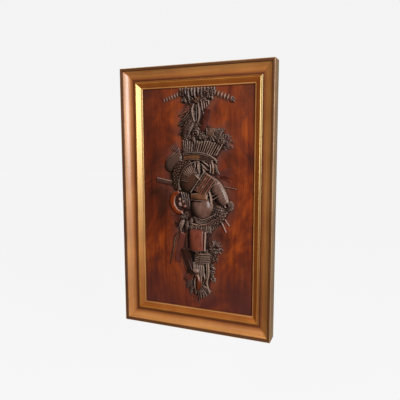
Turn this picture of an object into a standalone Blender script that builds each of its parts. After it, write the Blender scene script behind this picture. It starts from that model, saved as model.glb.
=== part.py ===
# Carved wooden trophy panel in a mitred, moulded frame, made to hang on a wall.
# Metres, +Z up. The front faces -Y and the back lies on the plane y = 0.
# The origin is the middle of the back face of the top rail, where the frame hangs.

import math

import bmesh
import bpy
from mathutils import Matrix, Vector

# Driving dimensions of the frame
frame_width = 0.500
frame_height = 0.835
frame_depth = 0.050
rail_face = 0.039
slip_face = 0.025

# Moulding of the rail: a flat outer strip, a step and a long cove
arris_radius = 0.0012
strip_width = 0.0082
strip_fall = 0.0014
step_fall = 0.0018
cove_fall = 0.0180
cove_bend = 2.2
cove_steps = 10
lip_width = 0.007
lip_thickness = 0.0032

# Moulding of the slip: a low slope up to a ridge, a long bevel and a thin fillet at the sight edge
slope_width = 0.0064
slope_rise = 0.0022
ridge_radius = 0.0010
bevel_fall = 0.0100
fillet_width = 0.0045
fillet_step = 0.0009
fillet_fall = 0.0024
sight_edge = 0.0034

# The board fills what is left of the depth, short of the wall by the recess
back_recess = 0.0040
joint_gap = 0.0003

# The carving is drawn on a grid of shares, from the middle of the sight opening.
# Its top is 352 shares up, and stays short of the top slip by the clearance.
carving_top = 352
edge_clearance = 0.0015
rooted_part = 0.4
carving_grain = 0.0020
facets_kept = 0.048

# Worked out from the sizes above
mitre_back = joint_gap / math.sqrt(2)
rebate_wall = rail_face - lip_width
sight_inset = rail_face + slip_face
back_face_middle = rebate_wall / 2
top_edge_z = back_face_middle
middle_z = top_edge_z - frame_height / 2
rail_edge_fall = strip_fall + step_fall + cove_fall
ridge_depth = rail_edge_fall - slope_rise
fillet_depth = ridge_depth + bevel_fall + fillet_step
slip_back_depth = fillet_depth + fillet_fall + sight_edge
ground_y = slip_back_depth + joint_gap - frame_depth
board_thickness = -back_recess - ground_y
share = (frame_height / 2 - sight_inset - edge_clearance) / carving_top
root_depth = rooted_part * board_thickness / share


def clear_scene():
    for thing in list(bpy.data.objects):
        bpy.data.objects.remove(thing, do_unlink=True)


def new_collection(name):
    made = bpy.data.collections.new(name)
    bpy.context.scene.collection.children.link(made)
    return made


def wood(name, colour, roughness):
    made = bpy.data.materials.new(name)
    made.use_nodes = True
    shader = made.node_tree.nodes["Principled BSDF"]
    shader.inputs["Base Color"].default_value = (*colour, 1.0)
    shader.inputs["Roughness"].default_value = roughness
    shader.inputs["Metallic"].default_value = 0.0
    made.diffuse_color = (*colour, 1.0)
    return made


def mesh_object(name, shape, collection, material):
    mesh = bpy.data.meshes.new(name)
    bmesh.ops.recalc_face_normals(shape, faces=shape.faces)
    shape.to_mesh(mesh)
    shape.free()
    made = bpy.data.objects.new(name, mesh)
    made.data.materials.append(material)
    collection.objects.link(made)
    return made


# Frame mouldings. A section point is (inward from the outer edge, depth behind the front).

def rail_section():
    points = [(0.0, frame_depth), (0.0, arris_radius)]
    points.append((0.3 * arris_radius, 0.3 * arris_radius))
    points.append((arris_radius, 0.0))
    points.append((strip_width, strip_fall))
    cove_start = strip_width + 0.4 * step_fall
    cove_width = rail_face - cove_start
    for i in range(cove_steps + 1):
        t = i / cove_steps
        fall = cove_fall * (1 - (1 - t) ** cove_bend)
        points.append((cove_start + cove_width * t, strip_fall + step_fall + fall))
    points.append((rail_face, rail_edge_fall + lip_thickness))
    points.append((rebate_wall, rail_edge_fall + lip_thickness))
    points.append((rebate_wall, frame_depth))
    return points


def slip_section():
    outer = rail_face + joint_gap
    ridge_at = outer + slope_width
    tongue = rail_edge_fall + lip_thickness + joint_gap
    bevel_end = sight_inset - fillet_width
    return [
        (outer, tongue),
        (outer, rail_edge_fall),
        (ridge_at - ridge_radius, ridge_depth + 0.3 * ridge_radius),
        (ridge_at, ridge_depth),
        (ridge_at + ridge_radius, ridge_depth + 0.3 * ridge_radius),
        (bevel_end, ridge_depth + bevel_fall),
        (bevel_end + 0.5 * fillet_step, fillet_depth),
        (sight_inset - arris_radius, fillet_depth + 0.7 * fillet_fall),
        (sight_inset, fillet_depth + fillet_fall),
        (sight_inset, slip_back_depth),
        (rebate_wall + joint_gap, slip_back_depth),
        (rebate_wall + joint_gap, tongue),
    ]


def mitred_length(name, section, length, across, turn, collection, material):
    # The section is drawn at one end, extruded along +X and cut back to the mitre at both ends
    shape = bmesh.new()
    corners = [shape.verts.new((0.0, depth - frame_depth, -inward)) for inward, depth in section]
    face = shape.faces.new(corners)
    extruded = bmesh.ops.extrude_face_region(shape, geom=[face])["geom"]
    far_end = {item for item in extruded if isinstance(item, bmesh.types.BMVert)}
    for vert in shape.verts:
        half = length / 2 - mitre_back + vert.co.z
        vert.co.x = half if vert in far_end else -half
        vert.co.z += across / 2
    bmesh.ops.rotate(shape, verts=shape.verts, cent=(0, 0, 0), matrix=Matrix.Rotation(turn, 3, "Y"))
    made = mesh_object(name, shape, collection, material)
    made.location = (0.0, 0.0, middle_z)
    return made


def frame_lengths(kind, section, collection, material):
    sides = (
        ("top", frame_width, frame_height, 0.0),
        ("bottom", frame_width, frame_height, math.pi),
        ("left", frame_height, frame_width, -math.pi / 2),
        ("right", frame_height, frame_width, math.pi / 2),
    )
    for side, length, across, turn in sides:
        mitred_length(f"{side}_{kind}", section, length, across, turn, collection, material)


# Carving tools. x runs right, z up and high out of the ground, all in shares.
# Every shape gets no narrower towards the board, as relief does, so none leaves a hollow behind it.

def spot(x, z, high):
    return Vector((x * share, ground_y - high * share, middle_z + z * share))


def half_circle(parts):
    return [(math.cos(math.pi * i / parts), math.sin(math.pi * i / parts)) for i in range(parts + 1)]


def close_loft(shape, rings):
    for first, second in zip(rings, rings[1:]):
        for i in range(len(first)):
            j = (i + 1) % len(first)
            shape.faces.new((first[i], first[j], second[j], second[i]))
    shape.faces.new(rings[0])
    shape.faces.new(rings[-1])


def carve(shape):
    # Adds one finished shape to the carving
    bmesh.ops.recalc_face_normals(shape, faces=shape.faces)
    passing = bpy.data.meshes.new("passing")
    shape.to_mesh(passing)
    shape.free()
    carving.from_mesh(passing)
    bpy.data.meshes.remove(passing)


def rod(start, end, radius, tip_radius=None):
    # A straight half-round bar, standing on the ground all along
    tip = radius if tip_radius is None else tip_radius
    along = Vector((end[0] - start[0], end[1] - start[1]))
    side = Vector((-along.y, along.x)).normalized()
    arch = half_circle(8)
    shape = bmesh.new()
    rings = []
    for (x, z, high), size in ((start, radius), (end, tip)):
        corners = [(out * size, high + up * size) for out, up in arch]
        corners += [(-size, -root_depth), (size, -root_depth)]
        places = [spot(x + side.x * out, z + side.y * out, up) for out, up in corners]
        rings.append([shape.verts.new(place) for place in places])
    close_loft(shape, rings)
    carve(shape)


def dome(x, z, wide, tall, high, lean=0.0, sides=20, rings=12):
    # Half of an egg shape, whose other half lies in the board
    shape = bmesh.new()
    bmesh.ops.create_uvsphere(shape, u_segments=sides, v_segments=rings, radius=share)
    place = (
        Matrix.Translation(spot(x, z, 0.0))
        @ Matrix.Rotation(math.radians(lean), 4, "Y")
        @ Matrix.Diagonal((wide, high, tall, 1.0))
        @ Matrix.Rotation(math.pi / 2, 4, "X")
    )
    bmesh.ops.transform(shape, matrix=place, verts=shape.verts)
    whole = shape.verts[:] + shape.edges[:] + shape.faces[:]
    cut = bmesh.ops.bisect_plane(
        shape, geom=whole, plane_co=spot(x, z, -root_depth / 2), plane_no=(0, 1, 0), clear_outer=True
    )["geom_cut"]
    rim = [item for item in cut if isinstance(item, bmesh.types.BMEdge)]
    bmesh.ops.contextual_create(shape, geom=rim)
    carve(shape)


def ring(x, z, radius, thick, high, sides=24):
    # A turned ring with a round top, standing on the ground
    arch = half_circle(8)
    corners = [(radius + out * thick, high + (up - 1) * thick) for out, up in arch]
    corners += [(radius - thick, -root_depth), (radius + thick, -root_depth)]
    shape = bmesh.new()
    section = [shape.verts.new((out * share, -up * share, 0.0)) for out, up in corners]
    edges = [shape.edges.new((section[i], section[(i + 1) % len(section)])) for i in range(len(section))]
    bmesh.ops.spin(
        shape, geom=section + edges, cent=(0, 0, 0), axis=(0, 1, 0), angle=2 * math.pi,
        steps=sides, use_merge=True,
    )
    bmesh.ops.remove_doubles(shape, verts=shape.verts, dist=1e-6)
    bmesh.ops.translate(shape, verts=shape.verts, vec=spot(x, z, 0.0))
    carve(shape)


def smooth_route(points, steps):
    # A Catmull-Rom curve through the points, with steps stretches in all
    ends = [points[0]] + list(points) + [points[-1]]
    spans = len(points) - 1
    route = []
    for i in range(steps + 1):
        place = min(i / steps * spans, spans - 1e-9)
        k = int(place)
        t = place - k
        a, b, c, d = (Vector(p) for p in ends[k:k + 4])
        route.append(0.5 * (2 * b + (c - a) * t + (2 * a - 5 * b + 4 * c - d) * t ** 2
                            + (3 * b - a - 3 * c + d) * t ** 3))
    return route


def leaf_shape(t):
    return 0.12 + 0.88 * math.sin(math.pi * min(t, 1.0) ** 0.75)


def ribbon_shape(t):
    return 1.0


def horn_shape(t):
    return 0.55 + 0.45 * math.sin(math.pi * t)


def tongue_shape(t):
    return 0.35 + 0.65 * math.sin(math.pi * (0.15 + 0.7 * t))


def round_top(across):
    return math.sqrt(max(1 - across * across, 0.0))


def ridge_top(across):
    return 1 - abs(across) ** 1.4


def sweep(points, half_width, width_at=leaf_shape, drop=0.6, top=round_top, steps=16):
    # A carved strap along a route. Its crest follows the route, and its edges lie lower by
    # the share drop of the height there. Its root goes into the board.
    route = smooth_route(points, steps)
    shape = bmesh.new()
    rings = []
    for i, here in enumerate(route):
        before = route[max(i - 1, 0)]
        after = route[min(i + 1, steps)]
        side = Vector((before.y - after.y, after.x - before.x)).normalized()
        wide = half_width * width_at(i / steps)
        corners = [(wide * k / 4, here.z * (1 - drop + drop * top(k / 4))) for k in range(-4, 5)]
        corners += [(wide, -root_depth), (-wide, -root_depth)]
        places = [spot(here.x + side.x * out, here.y + side.y * out, high) for out, high in corners]
        rings.append([shape.verts.new(place) for place in places])
    close_loft(shape, rings)
    carve(shape)


def leaf(root, tip, half_width, high, bow=0.0):
    # bow pushes the middle of the leaf sideways
    along = Vector((tip[0] - root[0], tip[1] - root[1]))
    side = Vector((-along.y, along.x)).normalized() * bow
    middle = ((root[0] + tip[0]) / 2 + side.x, (root[1] + tip[1]) / 2 + side.y, high)
    sweep([(*root, 0.75 * high), middle, (*tip, 0.45 * high)], half_width, top=ridge_top)


def petals(x, z, inner, outer, count, half_width, high, start=0.0):
    for i in range(count):
        angle = math.radians(start) + 2 * math.pi * i / count
        out = Vector((math.cos(angle), math.sin(angle)))
        leaf((x + out.x * inner, z + out.y * inner),
             (x + out.x * outer, z + out.y * outer), half_width, high)


def berries(x, z, spread, count, radius, high):
    # Seeds of a sunflower spiral, which fill a round patch evenly
    for i in range(count):
        angle = i * math.pi * (3 - math.sqrt(5))
        out = spread * math.sqrt((i + 0.5) / count)
        dome(x + out * math.cos(angle), z + out * math.sin(angle), radius, radius, high - 0.3 * out)


# The trophy, from the top down

def top_swag():
    for i in range(8):
        x = -45 + 13.6 * i
        high = 13 - 0.004 * x * x
        sweep([(0.8 * x + 1, 322, high - 1), (x, 340, high), (1.04 * x, 352, high - 2)],
              6.6, tongue_shape)
    for i in range(9):
        angle = math.radians(-160 + 17.5 * i)
        tip = (4 + 42 * math.cos(angle), 322 + 19 * math.sin(angle))
        leaf((4 + 10 * math.cos(angle), 324), tip, 6.0, 15)
    for i in range(10):
        x = -54 - 7.2 * i
        z = 328 - 1.2 * i
        size = 1 - 0.045 * i
        rod((x - 4, z + 8 * size, 2.0), (x + 4, z - 8 * size, 2.5), 3.6 * size, 2.4 * size)
    for i in range(6):
        x = 60 + 8.2 * i
        z = 331 - 2.6 * i
        rod((x + 3.5, z + 8, 3.5), (x - 3.5, z - 8, 3.0), 3.8, 2.6)
    for i in range(3):
        leaf((104, 320 - 4 * i), (117 - 2 * i, 321 - 10 * i), 3.5, 6)


def hanging_knot():
    sweep([(-7, 303, 10), (-11, 285, 14), (-8, 265, 15), (-3, 246, 13)], 5.5, tongue_shape)
    sweep([(6, 303, 9), (12, 285, 13), (12, 262, 13), (5, 243, 11)], 4.6, tongue_shape)
    for i in range(3):
        sweep([(17 + 9 * i, 304, 7), (20 + 9 * i, 280 + 5 * i, 5)], 4.0, tongue_shape)
    sweep([(34, 282, 3), (24, 252, 3.5), (17, 226, 4)], 10, ribbon_shape, drop=0.3)
    berries(-1, 234, 8, 5, 4.2, 11)


def left_leaves():
    # Long drooping leaves, each one over the one above it
    leaf((-6, 298), (-56, 282), 8, 4.5, 4)
    leaf((-8, 286), (-64, 262), 9, 9, 7)
    leaf((-10, 274), (-68, 236), 12, 9, 8)
    leaf((-14, 262), (-62, 212), 10, 8, 6)
    leaf((-14, 258), (-44, 196), 10, 13, -6)
    leaf((-6, 244), (-30, 200), 8, 12, -4)


def flowers():
    # The heap in the basket, from left to right
    berries(-24, 192, 16, 10, 5.8, 15)
    ring(1, 213, 10.5, 3.8, 13)
    dome(1, 213, 6, 6, 14)
    leaf((-10, 206), (2, 176), 7, 14, -2)
    for x, z, turn in ((17, 199, 20), (36, 195, 55), (52, 190, 10)):
        petals(x, z, 2, 12, 5, 5.5, 13, turn)
        dome(x, z, 4.5, 4.5, 16)
    for i in range(4):
        sweep([(44 + 3.4 * i, 204, 12), (41 + 5.8 * i, 228, 9)], 3.4, tongue_shape)
    for i in range(5):
        rod((73 + 2.4 * i, 206, 5), (64 + 7 * i, 230 - abs(i - 2), 5), 3.6, 2.4)
    petals(80, 190, 7, 18, 7, 8, 13, 10)
    petals(80, 190, 1, 9, 4, 5, 17, 35)
    petals(99, 178, 2, 12, 6, 5, 10, 0)
    petals(66, 206, 1, 9, 5, 4.5, 12, 0)
    for i in range(5):
        leaf((94, 200 - 9 * i), (126 - 3 * i, 212 - 17 * i), 6, 5.5, 3)


def basket():
    # Fanned reeds over a swelling body, a rolled rim below them and a plain foot band
    sweep([(-38, 168, 11), (10, 168, 16), (66, 164, 10)], 17, ribbon_shape, 0.15)
    for i in range(11):
        t = i / 10
        foot_x = -37 + 98 * t
        high = 8 + 8.5 * math.sin(math.pi * (0.1 + 0.8 * t))
        rod((foot_x, 154 - 14 * max(t - 0.6, 0), high), (1.07 * foot_x + 1, 187, high + 0.5), 4.2, 4.8)
    rim = [(-42, 150, 15), (0, 153, 20), (30, 150, 19), (52, 141, 16), (68, 127, 10)]
    sweep(rim, 3.4, ribbon_shape, 0.2)
    sweep([(-38, 139, 12), (0, 140, 17), (34, 137, 16), (56, 127, 10)], 10, ribbon_shape, 0.12)
    for i in range(7):
        leaf((64 + 5 * i, 182), (67 + 6.4 * i, 140 + 1.8 * abs(i - 3)), 4.6, 11 - 0.8 * i)


def straw_hat():
    # The crown lies at the upper left, the plaited band round it and the wide brim in front
    dome(-78, 122, 38, 25, 13, lean=-46)
    dome(-24, 72, 42, 54, 19, lean=-22)
    band = [(-20, 128, 13), (-50, 112, 15), (-64, 84, 15), (-64, 54, 13), (-56, 34, 10)]
    sweep(band, 13, tongue_shape, 0.25)
    for i in range(13):
        angle = math.radians(106 + 7.8 * i)
        inner = (-16 + 40 * math.cos(angle), 74 + 46 * math.sin(angle), 16.5)
        outer = (-14 + 62 * math.cos(angle + 0.14), 74 + 60 * math.sin(angle + 0.14), 12)
        rod(inner, outer, 2.4, 2.0)
    for i in range(8):
        angle = math.radians(58 + 11 * i)
        inner = (-22 + 20 * math.cos(angle), 70 + 22 * math.sin(angle), 16.5)
        outer = (-22 + 38 * math.cos(angle + 0.1), 72 + 42 * math.sin(angle + 0.1), 12.5)
        rod(inner, outer, 2.2)


def bow():
    leaf((8, 128), (46, 104), 10, 20, 4)
    leaf((10, 118), (42, 92), 8, 16, -2)
    leaf((18, 108), (25, 78), 6, 20, 2)
    leaf((2, 128), (-1, 92), 7, 18, 2)
    sweep([(55, 125, 11), (61, 108, 13), (60, 86, 10)], 6, tongue_shape)
    leaf((48, 110), (38, 84), 6, 12)
    leaf((58, 104), (76, 84), 6, 7)


def pan_pipes():
    for i in range(5):
        across = 5.6 * (i - 2)
        start = (48 + across * 0.7, 82 - across * 0.7 - 2 * i, 17)
        end = (0 + across * 0.7, 34 - across * 0.7 + 2.4 * i, 20)
        rod(start, end, 3.9, 3.3)
    sweep([(12, 66, 20), (32, 48, 20)], 3, ribbon_shape, drop=0.1)


def horn():
    # A stout leather body running down to the right, bound twice and ending in a frill
    sweep([(44, 76, 13), (62, 50, 18), (82, 18, 18), (98, -8, 12)], 24, horn_shape, drop=0.85)
    sweep([(38, 38, 18), (50, 58, 18), (64, 76, 12)], 3, ribbon_shape, drop=0.3)
    sweep([(56, 4, 15), (64, 20, 20), (74, 36, 17)], 2.4, ribbon_shape, drop=0.3)
    sweep([(64, -4, 15), (72, 13, 20), (83, 30, 17)], 2.4, ribbon_shape, drop=0.3)
    for i in range(7):
        angle = math.radians(-98 + 21 * i)
        root = (96 + 6 * math.cos(angle), -8 + 6 * math.sin(angle))
        tip = (104 + 21 * math.cos(angle), -10 + 21 * math.sin(angle))
        leaf(root, tip, 5.5, 10)


def gourd():
    dome(21, -19, 39, 44, 27)
    sweep([(-12, 14, 19), (14, 16, 26), (42, 13, 19)], 8.5, ribbon_shape, drop=0.12)
    for i in range(3):
        low = -50 - 7 * i
        high = 20 - 3 * i
        route = [(6 + i, low - 1, high), (34, low - 2, high), (60 - i, low + 12, 15 - 2 * i)]
        sweep(route, 3.0, ribbon_shape, drop=0.25)
    leaf((-14, -54), (-22, -84), 6, 12)
    sweep([(44, 34, 17), (49, 16, 20), (51, -6, 18)], 4, tongue_shape)


def net():
    # Knotted cloth to the right of the gourd: a cushion crossed by two sets of cords
    dome(72, -34, 26, 26, 11, lean=-30)
    sweep([(40, -66, 9), (62, -64, 9), (84, -48, 9), (98, -24, 8)], 7, ribbon_shape, drop=0.3)
    for i in range(4):
        shift = 10 * (i - 1.5)
        near, far = 0.7 * shift, 0.5 * shift
        rod((55 + near, -46 - near, 7.5), (84 + far, -14 - near, 7.5), 2.0)
        rod((57 + near, -16 + near, 7.5), (86 + far, -50 + near, 7.5), 2.0)


def side_staffs():
    rod((74, -44, 2), (99, -95, 1), 3.2)
    rod((82, -40, 2), (108, -76, 1), 2.8)
    rod((70, 51, 3), (131, 42, 1.5), 2.8, 2.0)
    rod((58, 80, 5), (82, 50, 3), 2.4)
    sweep([(-74, 53, 9), (-106, 58, 8), (-138, 64, 6)], 6.5, ribbon_shape, drop=0.3)
    for i in range(4):
        rod((-58 - 4 * i, 152 - i, 1.5), (-78 - 7 * i, 192 - 4 * i, 0.5), 2.6)
    for i in range(5):
        leaf((72, 92 - 4 * i), (128 - 4 * abs(i - 2), 108 - 12 * i), 6, 2.8, 3)


def left_fruits():
    crescent = [(-58, 26, 6), (-82, 10, 8), (-84, -16, 8), (-64, -38, 7), (-44, -38, 5)]
    sweep(crescent, 10, horn_shape, drop=0.4)
    dome(-68, 14, 4.5, 8, 11)
    dome(-54, -12, 8, 8, 13)
    dome(-44, -4, 7, 9, 14)
    dome(-38, -17, 7, 7, 12)
    for i in range(3):
        sweep([(-46 + 9 * i, 27, 9), (-40 + 7 * i, 2, 11), (-38 + 6 * i, -26, 8)], 4.4, tongue_shape)
    berries(-38, -52, 11, 6, 5, 9)


def fringe():
    # Flutes of hanging cloth under the gourd
    for i in range(10):
        t = i / 9
        x = -18 + 62 * t
        sweep([(0.9 * x + 3, -66, 13), (x, -82, 13), (1.08 * x, -99, 9)], 4.2, tongue_shape)
    for i in range(4):
        leaf((44 + 5 * i, -68), (50 + 8 * i, -97 + 3 * i), 4, 7)


def column():
    # A smooth round case below the fringe, with a bright rolled edge at the right
    sweep([(1, -94, 18), (1, -128, 19), (1, -160, 17)], 27, ribbon_shape, drop=0.55)
    sweep([(1, -95, 20), (1, -128, 20.5), (1, -159, 18.5)], 15, ribbon_shape, drop=0.12)
    rod((31, -98, 12), (27, -158, 11), 4)
    sweep([(-34, -98, 8), (-34, -162, 7)], 6.5, ribbon_shape, drop=0.3)


def low_ribbons():
    for i in range(5):
        leaf((-52, -46 - 2 * i), (-100 + 9 * i, -58 - 7 * i), 4, 3)
    leaf((-42, -64), (-52, -100), 8, 11, -3)
    leaf((-30, -66), (-32, -96), 6, 10, 2)
    sweep([(-58, -100, 3.6), (-76, -122, 3.4), (-84, -165, 3), (-96, -216, 2)], 4.5, ribbon_shape)
    sweep([(-48, -112, 4), (-58, -150, 3), (-72, -198, 2)], 9, tongue_shape)


def spiky_flower():
    petals(62, -152, 10, 33, 11, 5.5, 11, 8)
    petals(62, -152, 3, 19, 8, 4.8, 15, 25)
    dome(62, -152, 5.5, 5.5, 17)
    for i in range(4):
        leaf((60 - 7 * i, -176), (76 - 14 * i, -200), 6, 7)


def knot_folds():
    leaf((-38, -156), (-13, -234), 12, 12, -5)
    for i in range(3):
        route = [(-2, -184 - 7 * i, 11), (20, -182 - 8 * i, 15), (46, -180 - 7 * i, 10)]
        sweep(route, 4.2, tongue_shape)
    petals(8, -170, 2, 13, 6, 5.5, 13, 12)
    dome(8, -170, 5, 5, 16)
    berries(31, -168, 9, 5, 4.6, 12)


def tail():
    dome(0, -226, 17, 11, 18, lean=8)
    for i in range(4):
        sweep([(8 * i - 4, -198, 11), (9 * i - 3, -216, 13), (8 * i, -240, 12)], 4, tongue_shape)
    leaf((-14, -236), (-42, -266), 10, 10, 4)
    leaf((-10, -256), (-34, -292), 8, 9, -4)
    leaf((-6, -266), (-22, -312), 6, 8, -3)
    sweep([(0, -236, 14), (9, -254, 18), (8, -276, 16), (3, -301, 9)], 10, horn_shape, drop=0.4)
    sweep([(38, -200, 11), (41, -236, 13), (33, -264, 13), (42, -298, 9)], 4, ribbon_shape, drop=0.35)
    sweep([(24, -232, 12), (27, -252, 13), (18, -272, 10)], 5, tongue_shape)
    ring(53, -214, 7.5, 3.2, 8)
    ring(57, -246, 8.5, 3.4, 8)
    leaf((46, -226), (64, -262), 5.5, 7)
    for i in range(6):
        angle = math.radians(-138 + 21 * i)
        down = 48 - 3 * abs(i - 2.5)
        tip = (14 + 42 * math.cos(angle), -278 + down * math.sin(angle))
        leaf((14 + 6 * math.cos(angle), -276), tip, 6.5, 11)
    leaf((10, -305), (8, -338), 5, 5)


def carved_panel(collection, helpers):
    for group in (
        top_swag, hanging_knot, left_leaves, flowers, basket, straw_hat, bow, pan_pipes, horn, gourd, net,
        side_staffs, left_fruits, fringe, column, low_ribbons, spiky_flower, knot_folds, tail,
    ):
        group()
    # The crossing shapes become one skin, and then keep only the facets that their form needs
    relief = mesh_object("relief", carving, helpers, panel_wood)
    relief.hide_render = True
    relief.display_type = "WIRE"
    skin = relief.modifiers.new("one skin", "REMESH")
    skin.mode = "VOXEL"
    skin.voxel_size = carving_grain
    thin = relief.modifiers.new("fewer facets", "DECIMATE")
    thin.ratio = facets_kept

    shape = bmesh.new()
    bmesh.ops.create_cube(shape, size=1.0)
    width = frame_width - 2 * (rebate_wall + joint_gap)
    height = frame_height - 2 * (rebate_wall + joint_gap)
    bmesh.ops.scale(shape, vec=(width, board_thickness, height), verts=shape.verts)
    bmesh.ops.translate(shape, vec=(0.0, ground_y + board_thickness / 2, middle_z), verts=shape.verts)
    board = mesh_object("carved_panel", shape, collection, panel_wood)
    union = board.modifiers.new("carving", "BOOLEAN")
    union.operation = "UNION"
    union.solver = "EXACT"
    union.object = relief


clear_scene()
parts = new_collection("trophy_carving")
helpers = new_collection("carving_helpers")
carving = bmesh.new()
rail_wood = wood("rail_wood", (0.42, 0.21, 0.10), 0.42)
slip_wood = wood("slip_wood", (0.60, 0.38, 0.17), 0.36)
panel_wood = wood("panel_wood", (0.16, 0.045, 0.018), 0.38)
frame_lengths("rail", rail_section(), parts, rail_wood)
frame_lengths("slip", slip_section(), parts, slip_wood)
carved_panel(parts, helpers)
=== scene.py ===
import functools
import random
from math import atan2, cos, exp, hypot, pi, radians, sin, sqrt

import bpy
import numpy as np
from mathutils import Matrix, Vector
from mathutils.bvhtree import BVHTree


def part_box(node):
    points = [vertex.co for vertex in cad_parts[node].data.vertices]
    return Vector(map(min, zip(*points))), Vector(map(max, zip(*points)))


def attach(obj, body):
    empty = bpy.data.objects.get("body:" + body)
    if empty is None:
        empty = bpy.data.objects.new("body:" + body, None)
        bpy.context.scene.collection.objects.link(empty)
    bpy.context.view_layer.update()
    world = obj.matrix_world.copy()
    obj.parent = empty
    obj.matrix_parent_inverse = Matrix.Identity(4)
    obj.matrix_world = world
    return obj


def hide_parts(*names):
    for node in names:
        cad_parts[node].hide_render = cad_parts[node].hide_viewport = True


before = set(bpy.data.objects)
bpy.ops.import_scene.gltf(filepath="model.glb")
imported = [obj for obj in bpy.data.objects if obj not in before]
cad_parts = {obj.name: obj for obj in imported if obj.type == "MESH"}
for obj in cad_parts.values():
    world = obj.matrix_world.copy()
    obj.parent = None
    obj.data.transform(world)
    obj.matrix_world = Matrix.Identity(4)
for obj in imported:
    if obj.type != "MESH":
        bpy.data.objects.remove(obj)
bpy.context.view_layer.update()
print("frame loaded:", len(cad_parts), "nodes")

# Sizes of the whole frame, in metres, with the origin at the middle of the top rail's back
panelFrame = {
    "width": 0.500,
    "height": 0.835,
    "depth": 0.050,
    "railFace": 0.039,
    "slipFace": 0.025,
    "rebate": 0.032,
    "gap": 0.0003,
}
middleZ = panelFrame["rebate"] / 2 - panelFrame["height"] / 2
sightInset = panelFrame["railFace"] + panelFrame["slipFace"]


# Small helpers

def pickNone():
    if bpy.context.mode != "OBJECT":
        bpy.ops.object.mode_set(mode="OBJECT")
    bpy.ops.object.select_all(action="DESELECT")


def pick(piece):
    pickNone()
    piece.select_set(True)
    bpy.context.view_layer.objects.active = piece


def allToTriangles():
    bpy.ops.mesh.select_all(action="SELECT")
    bpy.ops.mesh.quads_convert_to_tris()


def applyAll(piece):
    pick(piece)
    for modifier in list(piece.modifiers):
        bpy.ops.object.modifier_apply(modifier=modifier.name)


def smoothByAngle(piece, degrees):
    pick(piece)
    bpy.ops.object.shade_smooth_by_angle(angle=radians(degrees))


def standFor(piece, node):
    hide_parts(node)
    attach(piece, "root")


def vertexPlaces(mesh):
    places = np.empty(len(mesh.vertices) * 3)
    mesh.vertices.foreach_get("co", places)
    return places.reshape(-1, 3)


def faceCorners(mesh):
    corners = np.empty(len(mesh.polygons) * 3, int)
    mesh.polygons.foreach_get("vertices", corners)
    return corners.reshape(-1, 3)


def toLinear(red, green, blue):
    # From the 0 to 255 values of a colour picker
    def one(value):
        value = value / 255
        return value / 12.92 if value <= 0.04045 else ((value + 0.055) / 1.055) ** 2.4
    return (one(red), one(green), one(blue), 1.0)


# Materials. A colour is three values from 0 to 255, or another node's output.

white = (255, 255, 255)


class Recipe:
    # A material under construction: its nodes are added one by one
    def __init__(self, name):
        self.material = bpy.data.materials.new(name)
        self.material.use_nodes = True
        self.tree = self.material.node_tree
        self.shader = self.tree.nodes["Principled BSDF"]

    def feed(self, socket, value):
        if isinstance(value, bpy.types.NodeSocket):
            self.tree.links.new(value, socket)
        else:
            socket.default_value = value

    def add(self, kind, sockets, **settings):
        node = self.tree.nodes.new(kind)
        for key, value in settings.items():
            setattr(node, key, value)
        for key, value in sockets.items():
            self.feed(node.inputs[key], value)
        return node

    def here(self, stretch=(1, 1, 1), place=(0, 0, 0)):
        spot = self.add("ShaderNodeTexCoord", {}).outputs["Object"]
        sockets = {"Vector": spot, "Scale": stretch, "Location": place}
        return self.add("ShaderNodeMapping", sockets).outputs["Vector"]

    def noise(self, vector, scale, detail=4.0, rough=0.55, twist=0.0):
        return self.add("ShaderNodeTexNoise", {
            "Vector": vector, "Scale": scale, "Detail": detail, "Roughness": rough, "Distortion": twist,
        }).outputs["Fac"]

    def ramp(self, factor, stops):
        node = self.add("ShaderNodeValToRGB", {"Fac": factor})
        while len(node.color_ramp.elements) < len(stops):
            node.color_ramp.elements.new(0.5)
        for element, (place, colour) in zip(node.color_ramp.elements, stops):
            element.position = place
            element.color = toLinear(*colour)
        return node.outputs["Color"]

    def fade(self, factor, start, end):
        # From none at the start to all at the end
        return self.ramp(factor, [(start, (0, 0, 0)), (end, white)])

    def mix(self, factor, first, second, kind="MIX"):
        first, second = (each if isinstance(each, bpy.types.NodeSocket) else toLinear(*each)
                         for each in (first, second))
        sockets = {0: factor, 6: first, 7: second}
        return self.add("ShaderNodeMix", sockets, data_type="RGBA", blend_type=kind).outputs[2]

    def times(self, first, second):
        return self.maths("MULTIPLY", first, second)

    def veil(self, colour, amount, strength, over):
        # Another colour laid over the first, by the amount times the strength
        return self.mix(self.times(amount, strength), colour, over)

    def darken(self, colour, shades):
        return self.mix(1.0, colour, shades, "MULTIPLY")

    def maths(self, operation, first, second=0.0, clamp=False):
        sockets = {0: first, 1: second}
        return self.add("ShaderNodeMath", sockets, operation=operation, use_clamp=clamp).outputs[0]

    def attribute(self, name):
        return self.add("ShaderNodeAttribute", {}, attribute_name=name).outputs["Fac"]

    def bump(self, height, strength, distance, below=None):
        sockets = {"Height": height, "Strength": strength, "Distance": distance}
        if below is not None:
            sockets["Normal"] = below
        return self.add("ShaderNodeBump", sockets).outputs["Normal"]

    def finish(self, colour, normal, constants):
        for key, value in {"Base Color": colour, "Normal": normal, **constants}.items():
            self.feed(self.shader.inputs[key], value)
        return self.material


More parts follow.
